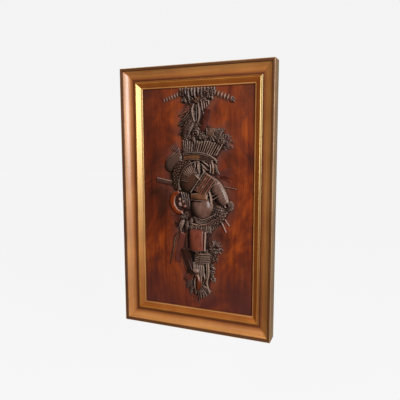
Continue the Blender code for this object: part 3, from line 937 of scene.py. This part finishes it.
def fringe():
    # Flutes of hanging cloth under the gourd
    lay("beads", [(-18, -72, 14), (14, -76, 16), (50, -72, 12)], 2.4, 0.5, tan)
    for i in range(13):
        t = i / 12
        x = -20 + 68 * t
        tongue([(0.94 * x + 2, -76, 13), (x, -86, 13), (1.05 * x, -101, 8)], 2.3, 0.8,
            (umber, mauve, brown)[i % 3])
    for i in range(6):
        leaf((48 + 3.4 * i, -66 + 3 * i), (54 + 6 * i, -96 + 5 * i), 2.4, 6.5, 0, "blade", brown)


def column():
    # A smooth round case below the fringe, with a bright rolled edge at the right
    strap([(2, -86, 9), (2, -104, 16), (2, -130, 19), (2, -160, 17)], 26, 0.6, 0.24, noCuts)
    rod((33, -97, 12), (30, -158, 11), 2.4, mauve)
    strap([(-36, -92, 4), (-36, -162, 4)], 5, 0.8, brown, noCuts)
    strap([(-26, -157, 13), (2, -160, 20), (28, -157, 13)], 1.8, 0.4, brown)


def lowRibbons():
    for i in range(7):
        leaf((-52, -44 - 2.4 * i), (-100 + 7 * i, -54 - 7 * i), 2.2, 2.8, 0, "blade", red)
    leaf((-42, -62), (-56, -100), 7, 12, -3, "leaf", mauve)
    leaf((-30, -64), (-36, -100), 6, 12, 2)
    heap(-60, -78, 14, 20, 14, 5, 11, brown, ("blade",))
    tongue([(-52, -98, 4), (-74, -118, 4.6), (-84, -165, 3.4), (-96, -216, 1.4)], 3.4, 0.7, tan)
    lay("fold", [(-46, -106, 5), (-58, -150, 3.4), (-68, -206, 1.6)], 11, 0.5, red, noCuts)


def spikyFlower():
    # Thin pointed petals at all angles round a dark middle
    for i in range(58):
        angle = i * 2.4 + dice.uniform(-0.2, 0.2)
        inner = dice.uniform(3, 16)
        outer = inner + dice.uniform(13, 20)
        leaf(off(62, -150, inner, angle), off(62, -150, outer, angle),
             dice.uniform(1.5, 2.1), 17 - 0.42 * outer + dice.uniform(-2, 1), dice.uniform(-2, 2), "blade",
             dice.choice((umber, brown, mauve)))
    mound("seeds", 62, -150, 5, 5, 14)
    heap(52, -182, 22, 14, 22, 6, 10, brown)


def knotFolds():
    # A smooth ribbon crossing the panel below the case, then the knot's stacked folds
    strap([(-44, -156, 4), (-34, -190, 6), (-22, -216, 8), (-10, -240, 9)], 16, 0.85, umber, noCuts)
    tongue([(-40, -168, 4), (-27, -200, 8), (-14, -228, 11)], 7, 0.9)
    strap([(-56, -168, 3), (-45, -198, 5), (-34, -226, 6)], 2.4, 0.5, red)
    for i in range(6):
        tongue([(-4, -172 - 5.6 * i, 12), (20, -170 - 6.2 * i, 16), (48, -168 - 5.6 * i, 10)], 2.5, 0.8,
            (tan, brown)[i % 2])
    heap(8, -168, 14, 8, 16, 14, 8, tan)
    heap(30, -164, 10, 8, 12, 12, 7)


def tail():
    mound("dome", 0, -226, 16, 11, 18, 8, mauve)
    for i in range(6):
        tongue([(5.6 * i - 7, -198, 12), (6.4 * i - 6, -216, 14), (5.8 * i - 2, -244, 12)], 2.4, 0.8,
            (mauve, umber)[i % 2])
    leaf((-12, -238), (-46, -264), 12, 9, 3, "leaf", red, noCuts)
    leaf((-10, -256), (-34, -292), 8, 9, -4)
    leaf((-6, -266), (-22, -312), 6, 8, -3)
    lay("body", [(3, -238, 15), (10, -256, 19), (9, -274, 17), (5, -296, 9)], 9, 0.6, orange, noCuts)
    strap([(0, -240, 15), (-3, -268, 16), (0, -302, 10)], 1.7, 0.5, mauve)
    strap([(18, -240, 13), (20, -262, 14), (15, -290, 10)], 1.7, 0.5, tan)
    strap([(42, -200, 12), (44, -236, 14), (38, -264, 14), (46, -298, 9)], 1.9, 0.5, mauve)
    strap([(36, -202, 12), (38, -236, 12), (32, -266, 12)], 1.6, 0.5, tan)
    tongue([(26, -232, 12), (29, -252, 13), (20, -272, 10)], 4)
    heap(54, -220, 9, 18, 34, 8, 7)
    heap(56, -250, 9, 10, 16, 8, 8, mauve)
    leaf((48, -226), (64, -258), 4.6, 7)
    for i in range(9):
        angle = radians(-148 + 14.5 * i)
        down = 44 - 3 * abs(i - 4)
        leaf((16 + 6 * cos(angle), -272), (16 + 42 * cos(angle), -276 + down * sin(angle)),
             4.2, 11, 0, "leaf", (mauve, umber)[i % 2])
    for i in range(6):
        leaf((-16 + 7 * i, -300), (-20 + 8 * i, -330 + 3 * abs(i - 3)), 1.6, 2.2, 0, "blade", red)
    leaf((10, -305), (8, -340), 3, 4.5, 0, "blade", mauve)


def buildRelief(points, faces):
    mesh = bpy.data.meshes.new("relief")
    mesh.from_pydata(points.tolist(), [], faces.tolist())
    relief = bpy.data.objects.new("relief", mesh)
    bpy.context.scene.collection.objects.link(relief)
    skin = relief.modifiers.new("skin", "REMESH")
    skin.mode = "VOXEL"
    skin.voxel_size = carving["grain"]
    relief.modifiers.new("soft", "SMOOTH")
    applyAll(relief)
    total = 2 * len(relief.data.polygons)
    if total > carving["triangles"]:
        thin = relief.modifiers.new("thin", "DECIMATE")
        thin.ratio = carving["triangles"] / total
        applyAll(relief)
    print("one skin:", total, "triangles, thinned to", len(relief.data.polygons))
    return relief


def buildBoard(relief):
    # A cube at the board's size and place, joined to the relief
    low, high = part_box("carved_panel")
    pickNone()
    bpy.ops.mesh.primitive_cube_add(size=1)
    board = bpy.context.object
    board.name = "carvedBoard"
    board.scale = (high.x - low.x, carving["backY"] - groundY, high.z - low.z)
    board.location = ((low.x + high.x) / 2, (carving["backY"] + groundY) / 2, (low.z + high.z) / 2)
    bpy.ops.object.transform_apply()
    union = board.modifiers.new("union", "BOOLEAN")
    union.operation = "UNION"
    union.solver = "MANIFOLD"
    union.object = relief
    applyAll(board)
    bpy.data.objects.remove(relief)
    return board


def refineGround(board):
    # The long edges of the bare ground are halved until none is longer than the step
    mesh = board.data
    pick(board)
    bpy.ops.object.mode_set(mode="EDIT")
    allToTriangles()
    for _ in range(9):
        bpy.ops.object.mode_set(mode="OBJECT")
        places = vertexPlaces(mesh)
        low = np.abs(places[:, 1] - groundY) < carving["level"]
        pairs = np.empty(len(mesh.edges) * 2, int)
        mesh.edges.foreach_get("vertices", pairs)
        first, second = pairs[0::2], pairs[1::2]
        length = np.linalg.norm(places[first] - places[second], axis=1)
        chosen = low[first] & low[second] & (length > carving["groundStep"])
        if not chosen.any():
            break
        mesh.vertices.foreach_set("select", np.zeros(len(mesh.vertices), bool))
        mesh.polygons.foreach_set("select", np.zeros(len(mesh.polygons), bool))
        mesh.edges.foreach_set("select", chosen)
        bpy.ops.object.mode_set(mode="EDIT")
        bpy.ops.mesh.select_mode(type="EDGE")
        bpy.ops.mesh.subdivide(number_cuts=1, quadcorner="INNERVERT")
        allToTriangles()
    # Slivers are dissolved, and the few cracks beside them are drawn together
    bpy.ops.object.mode_set(mode="EDIT")
    bpy.ops.mesh.select_mode(type="VERT")
    for _ in range(2):
        bpy.ops.mesh.select_all(action="SELECT")
        bpy.ops.mesh.dissolve_degenerate(threshold=carving["sliver"])
        bpy.ops.mesh.quads_convert_to_tris()
        bpy.ops.mesh.select_all(action="DESELECT")
        bpy.ops.mesh.select_non_manifold()
        board.update_from_editmode()
        if mesh.total_vert_sel:
            bpy.ops.mesh.merge(type="COLLAPSE")
    pickNone()


# The height map reaches so far to each side of the sight opening's middle, and up and down
mapReach = (0.190, 0.358)


def heightMap(mesh, step):
    # The front's height out of the ground, in millimetres, on an even grid over the sight opening
    tree = BVHTree.FromPolygons(vertexPlaces(mesh).tolist(), faceCorners(mesh).tolist())
    straightBack = Vector((0, 1, 0))
    columns = np.arange(-mapReach[0], mapReach[0], step)
    rows = np.arange(middleZ - mapReach[1], middleZ + mapReach[1], step)
    heights = np.zeros((len(rows), len(columns)))
    for i, z in enumerate(rows):
        for j, x in enumerate(columns):
            hit = tree.ray_cast((x, -0.1, z), straightBack)[0]
            heights[i, j] = (groundY - hit.y) / unit
    return heights


def blurred(grid, reach):
    # A Gaussian blur over so many cells
    steps = np.arange(-int(3 * reach), int(3 * reach) + 1)
    weights = np.exp(-0.5 * (steps / reach) ** 2)
    weights /= weights.sum()
    for axis in (0, 1):
        padded = np.pad(grid, [(len(steps) // 2,) * 2 if k == axis else (0, 0) for k in (0, 1)], "edge")
        size = grid.shape[axis]
        grid = sum(weight * np.take(padded, range(k, k + size), axis) for k, weight in enumerate(weights))
    return grid


def readMap(grid, places, step):
    # The grid's value at each place, between its four nearest cells
    across = np.clip((places[:, 0] + mapReach[0]) / step, 0, grid.shape[1] - 1.001)
    upward = np.clip((places[:, 2] - middleZ + mapReach[1]) / step, 0, grid.shape[0] - 1.001)
    j, i = across.astype(int), upward.astype(int)
    u, v = across - j, upward - i
    return ((grid[i, j] * (1 - u) + grid[i, j + 1] * u) * (1 - v)
            + (grid[i + 1, j] * (1 - u) + grid[i + 1, j + 1] * u) * v)


def nearestShapes(points, faces, places):
    # The nearest carved shape's row of values at each place, and where on that shape it lies
    spots = np.concatenate(shapeStore["locals"])
    tree = BVHTree.FromPolygons(points.tolist(), faces.tolist())
    hits = [tree.find_nearest(place) for place in places.tolist()]
    face = np.array([hit[2] for hit in hits])
    corners = faces[face]
    a, b, c = (points[corners[:, k]] for k in range(3))
    toB, toC, toHit = b - a, c - a, np.array([hit[0] for hit in hits]) - a
    bb, bc, cc = (toB * toB).sum(1), (toB * toC).sum(1), (toC * toC).sum(1)
    hb, hc = (toHit * toB).sum(1), (toHit * toC).sum(1)
    area = bb * cc - bc * bc + 1e-24
    v, w = (cc * hb - bc * hc) / area, (bb * hc - bc * hb) / area
    inside = (spots[corners[:, 0]] * (1 - v - w)[:, None] + spots[corners[:, 1]] * v[:, None]
              + spots[corners[:, 2]] * w[:, None])
    rows = np.array(shapeStore["rows"])[np.concatenate(shapeStore["owners"])[face]]
    return rows, inside


# How the hollows and the halo are worked out, in millimetres and steps of the height map
hollows = {
    "step": 0.001,
    "quickStep": 0.002,
    "lightSide": (0.0009, 0.0, 0.0006),
    "fine": (1.2, 4.0),
    "broad": (8.0, 16.0),
    "halo": (20.0, 2.5),
    "lowness": 7.0,
}


def writeMarks(mesh, points, faces):
    # Each shape's tone and cuts, and the hollows and ridges where the material paints shade and highlights
    places = vertexPlaces(mesh)
    height = (groundY - places[:, 1]) / unit
    carved = height > 0.02
    rows, inside = nearestShapes(points, faces, places[carved])
    values = np.zeros((5, len(places)))
    values[:3, carved] = rows[:, :3].T
    values[3, carved] = inside[:, 0] * rows[:, 3] + inside[:, 1] * rows[:, 4]
    values[4, carved] = inside[:, 0] * rows[:, 5] + inside[:, 1] * rows[:, 6]
    marks = dict(zip(("tone", "shade", "cutDepth", "firstCut", "secondCut"), values))
    step = hollows["step"]
    heights = heightMap(mesh, step)
    cell = step / unit
    reach, span = hollows["fine"]
    # Read a little to the upper right, so that edges turned to the light get the painted highlight
    fine = readMap(blurred(heights, reach / cell), places + np.array(hollows["lightSide"]), step) - height
    marks["fineHollow"] = np.clip(0.5 + fine / span, 0, 1)
    # Broad hollows get painted shade
    reach, span = hollows["broad"]
    broad = readMap(blurred(heights, reach / cell), places, step) - height
    marks["broadHollow"] = np.clip(0.5 + broad / span, 0, 1)
    # The halo carries painted shade and dust on the ground round the trophy
    reach, least = hollows["halo"]
    near = readMap(blurred((heights > least).astype(float), reach / cell), places, step)
    marks["halo"] = np.clip(near * 2, 0, 1)
    marks["lowness"] = np.clip(1.2 - height / hollows["lowness"], 0, 1)
    for name, each in marks.items():
        attribute = mesh.attributes.new(name, "FLOAT", "POINT")
        attribute.data.foreach_set("value", np.ascontiguousarray(each, np.float32))
    print("height map made")


def buildCarving():
    makeMasters()
    for group in (
        filling, topSwag, hangingKnot, leftLeaves, flowers, basket, strawHat, bow, panPipes, horn, gourd,
        net, sideStaffs, leftFruits, fringe, column, lowRibbons, spikyFlower, knotFolds, tail,
    ):
        group()
    points, faces = (np.concatenate(shapeStore[key]) for key in ("points", "faces"))
    print("carved shapes:", len(shapeStore["points"]), "with", len(faces), "triangles")
    board = buildBoard(buildRelief(points, faces))
    refineGround(board)
    mesh = board.data
    print("board finished:", len(mesh.polygons), "triangles")
    writeMarks(mesh, points, faces)
    # The bare ground and the board's sides are flat, and the carving is smooth
    heights = vertexPlaces(mesh)[faceCorners(mesh)][:, :, 1]
    bare = (np.abs(heights - groundY) < carving["level"]).all(axis=1)
    behind = heights.min(axis=1) > groundY - carving["level"]
    smoothByAngle(board, 70)
    mesh.polygons.foreach_set("use_smooth", ~(bare | behind))
    mesh.materials.clear()
    mesh.materials.append(groundWood())
    mesh.materials.append(carvedWood())
    mesh.polygons.foreach_set("material_index", (~(bare | behind)).astype(np.int32))
    mesh.update()
    return board


panelFinish = {
    "clouds": [(0.32, (66, 27, 10)), (0.47, (122, 49, 14)), (0.60, (162, 74, 18))],
    "tones": [
        (0.0, (114, 46, 12)),
        (orange, (122, 62, 34)),
        (red, (118, 64, 52)),
        (tan, (104, 66, 38)),
        (brown, (70, 45, 34)),
        (umber, (76, 53, 44)),
        (mauve, (124, 97, 88)),
    ],
    "shades": [(0.30, (176, 150, 132)), (0.75, (255, 250, 246))],
    "plum": (80, 38, 24),
    "edge": (62, 28, 20),
    "low": (70, 34, 32),
    # painted shade and dust round the trophy
    "halo": (90, 54, 44),
    # painted highlight on ridges and cut crests
    "glint": (190, 162, 145),
    # painted shade in hollows, in the cuts and beside the trophy, with some dirt
    "shadeAndDirt": (17, 8, 5),
    "groundShader": {"Roughness": 0.50, "Specular IOR Level": 0.28},
    "carvedShader": {"Roughness": 0.27, "Specular IOR Level": 0.22},
}


def fineGrain(look):
    return look.noise(look.here((190, 190, 5)), 1.0, 6.0, 0.65, 0.5)


def groundWood():
    # Red-brown board with orange clouds, a vertical figure and fine grain
    look = Recipe("panelGroundWood")
    clouds = look.noise(look.here((1, 1, 0.6)), 8.0, 6.0, 0.62, 0.8)
    stains = look.noise(look.here((1, 1, 0.7), (3, 0, 1)), 17.0, 5.0, 0.6, 1.2)
    grain = fineGrain(look)
    wide = look.noise(look.here((42, 42, 3.4)), 1.0, 5.0, 0.65, 0.6)
    colour = look.ramp(clouds, panelFinish["clouds"])
    colour = look.veil(colour, look.fade(stains, 0.52, 0.72), 0.75, panelFinish["plum"])
    colour = look.darken(colour, look.mix(look.fade(wide, 0.32, 0.68), (184, 164, 156), white))
    colour = look.darken(colour, look.mix(look.fade(grain, 0.3, 0.75), (206, 192, 182), white))
    # Darker towards the corners
    spot = look.add("ShaderNodeSeparateXYZ", {0: look.here()}).outputs
    sideways = look.maths("DIVIDE", look.maths("ABSOLUTE", spot[0]), 0.19)
    upward = look.maths("DIVIDE", look.maths("ABSOLUTE", look.maths("SUBTRACT", spot[2], middleZ)), 0.36)
    sideways, upward = look.maths("POWER", sideways, 1.6), look.maths("POWER", upward, 1.8)
    corner = look.maths("MULTIPLY", sideways, upward, clamp=True)
    colour = look.veil(colour, corner, 0.85, panelFinish["edge"])
    low = look.fade(look.maths("ADD", look.times(spot[2], -1.0), look.times(clouds, -0.25)), 0.46, 0.66)
    colour = look.veil(colour, low, 0.6, panelFinish["low"])
    # Patchy painted shade and dust round the trophy, and deeper painted shade close beside it
    halo = look.attribute("halo")
    haloPatches = look.fade(look.noise(look.here(), 22.0, 4.0), 0.26, 0.56)
    colour = look.veil(colour, look.times(look.maths("POWER", halo, 1.3), haloPatches), 0.95, panelFinish["halo"])
    colour = look.veil(colour, look.maths("POWER", halo, 12.0), 0.75, panelFinish["shadeAndDirt"])
    return look.finish(colour, look.bump(grain, 0.10, 0.0004), panelFinish["groundShader"])


def cutLine(look, name):
    turned = look.maths("COSINE", look.times(look.attribute(name), pi))
    return look.maths("POWER", look.maths("ABSOLUTE", turned), 2.0)


def carvedWood():
    look = Recipe("panelCarvedWood")
    grain = fineGrain(look)
    blotches = look.noise(look.here(), 55.0, 4.0, 0.6)
    colour = look.ramp(look.attribute("tone"), panelFinish["tones"])
    # The lowest parts keep more of the board's own red
    colour = look.veil(colour, look.attribute("lowness"), 0.6, panelFinish["low"])
    colour = look.darken(colour, look.mix(look.fade(grain, 0.3, 0.75), (200, 188, 178), white))
    shades = look.maths("ADD", look.times(look.attribute("shade"), 0.6), look.times(blotches, 0.6))
    colour = look.darken(colour, look.ramp(shades, panelFinish["shades"]))
    depth = look.attribute("cutDepth")
    cuts = look.maths("MAXIMUM", cutLine(look, "firstCut"), cutLine(look, "secondCut"))
    crests = look.times(look.maths("POWER", look.maths("SUBTRACT", 1.0, cuts), 2.0), depth)
    cuts = look.times(cuts, depth)
    fine, broad = look.attribute("fineHollow"), look.attribute("broadHollow")
    # Painted highlights on ridges turned to the light and on the cut crests, and painted shade in the fine
    # and broad hollows and in the cuts
    for amount, strength, over in (
        (look.ramp(fine, [(0.0, white), (0.28, (0, 0, 0))]), 0.34, "glint"),
        (crests, 0.24, "glint"),
        (look.fade(fine, 0.51, 0.63), 0.95, "shadeAndDirt"),
        (look.fade(broad, 0.46, 0.78), 0.85, "shadeAndDirt"),
        (cuts, 0.85, "shadeAndDirt"),
    ):
        colour = look.veil(colour, amount, strength, panelFinish[over])
    tooled = look.noise(look.here(), 420.0, 2.0)
    normal = look.bump(tooled, 0.12, 0.0003, look.bump(grain, 0.10, 0.0004))
    normal = look.bump(look.maths("SUBTRACT", 1.0, cuts), 0.8, 0.0010, normal)
    return look.finish(colour, normal, panelFinish["carvedShader"])


carvedBoard = buildCarving()
standFor(carvedBoard, "carved_panel")
print("carving made")


# Studio: a pale floor under the frame, a window-like light at the right, and softer lights
# from above and from the front. A lamp is (name, place, size, power, seen in reflections).

studio = {
    "floorDrop": 1.35,
    "floorSize": 30.0,
    "floorGlow": 0.89,
    "lamps": (
        ("keyLight", (1.95, -1.85, 0.25), (1.1, 1.5), 98.0, True),
        ("topLight", (0.6, -0.8, 1.7), (1.4, 0.7), 3.0, False),
        ("frontLight", (-0.8, -2.1, 1.3), (1.3, 0.9), 36.0, False),
    ),
    "worldGlow": 0.12,
    "backdrop": 0.90,
}

# The camera's place is measured from the middle of the frame's front
photoCamera = {
    "lens": 37.98,
    "place": (0.4976, -1.198, 0.178),
    "right": (0.9303, 0.3667, -0.0020),
    "up": (-0.0460, 0.1221, 0.9915),
    "ahead": (-0.3638, 0.9223, -0.1304),
}


def addLamp(name, place, size, power, mirrored):
    aim = Vector((0, -0.03, middleZ))
    pickNone()
    bpy.ops.object.light_add(type="AREA", location=place)
    lamp = bpy.context.object
    lamp.name = name
    lamp.data.shape = "RECTANGLE"
    lamp.data.size, lamp.data.size_y = size
    lamp.data.energy = power
    lamp.visible_glossy = mirrored
    lamp.rotation_euler = (aim - Vector(place)).to_track_quat("-Z", "Y").to_euler()


def addFloor():
    pickNone()
    bpy.ops.mesh.primitive_plane_add(size=studio["floorSize"], location=(0, 0, -studio["floorDrop"]))
    floor = bpy.context.object
    floor.name = "paleFloor"
    bpy.ops.object.transform_apply()
    look = Recipe("paleFloor")
    for key, value in (
        ("Base Color", (0.05, 0.05, 0.05, 1)),
        ("Roughness", 0.9),
        ("Emission Color", (1, 1, 1, 1)),
        ("Emission Strength", studio["floorGlow"]),
    ):
        look.feed(look.shader.inputs[key], value)
    floor.data.materials.append(look.material)
    floor.visible_diffuse = False
    floor.visible_glossy = False


def addWorld():
    # The camera sees a bright backdrop, which lights the frame only faintly
    world = bpy.data.worlds.new("studio")
    bpy.context.scene.world = world
    world.use_nodes = True
    nodes, links = world.node_tree.nodes, world.node_tree.links
    faint = nodes["Background"]
    seen = nodes.new("ShaderNodeBackground")
    for background, strength in ((faint, studio["worldGlow"]), (seen, studio["backdrop"])):
        background.inputs["Color"].default_value = (1, 1, 1, 1)
        background.inputs["Strength"].default_value = strength
    rays = nodes.new("ShaderNodeLightPath")
    either = nodes.new("ShaderNodeMixShader")
    links.new(rays.outputs["Is Camera Ray"], either.inputs["Fac"])
    links.new(faint.outputs[0], either.inputs[1])
    links.new(seen.outputs[0], either.inputs[2])
    links.new(either.outputs[0], nodes["World Output"].inputs["Surface"])
    bpy.context.scene.view_settings.view_transform = "Standard"
    bpy.context.scene.view_settings.look = "None"


def addCamera():
    right, up, ahead = (Vector(photoCamera[key]) for key in ("right", "up", "ahead"))
    lens = bpy.data.cameras.new("photoCamera")
    lens.lens = photoCamera["lens"]
    lens.sensor_width = 36
    camera = bpy.data.objects.new("photoCamera", lens)
    bpy.context.scene.collection.objects.link(camera)
    turned = Matrix((right, up, -ahead)).transposed().to_4x4()
    turned.translation = Vector((0, -panelFrame["depth"], middleZ)) + Vector(photoCamera["place"])
    camera.matrix_world = turned
    bpy.context.scene.camera = camera


addFloor()
for lamp in studio["lamps"]:
    addLamp(*lamp)
addWorld()
addCamera()
print("studio made")
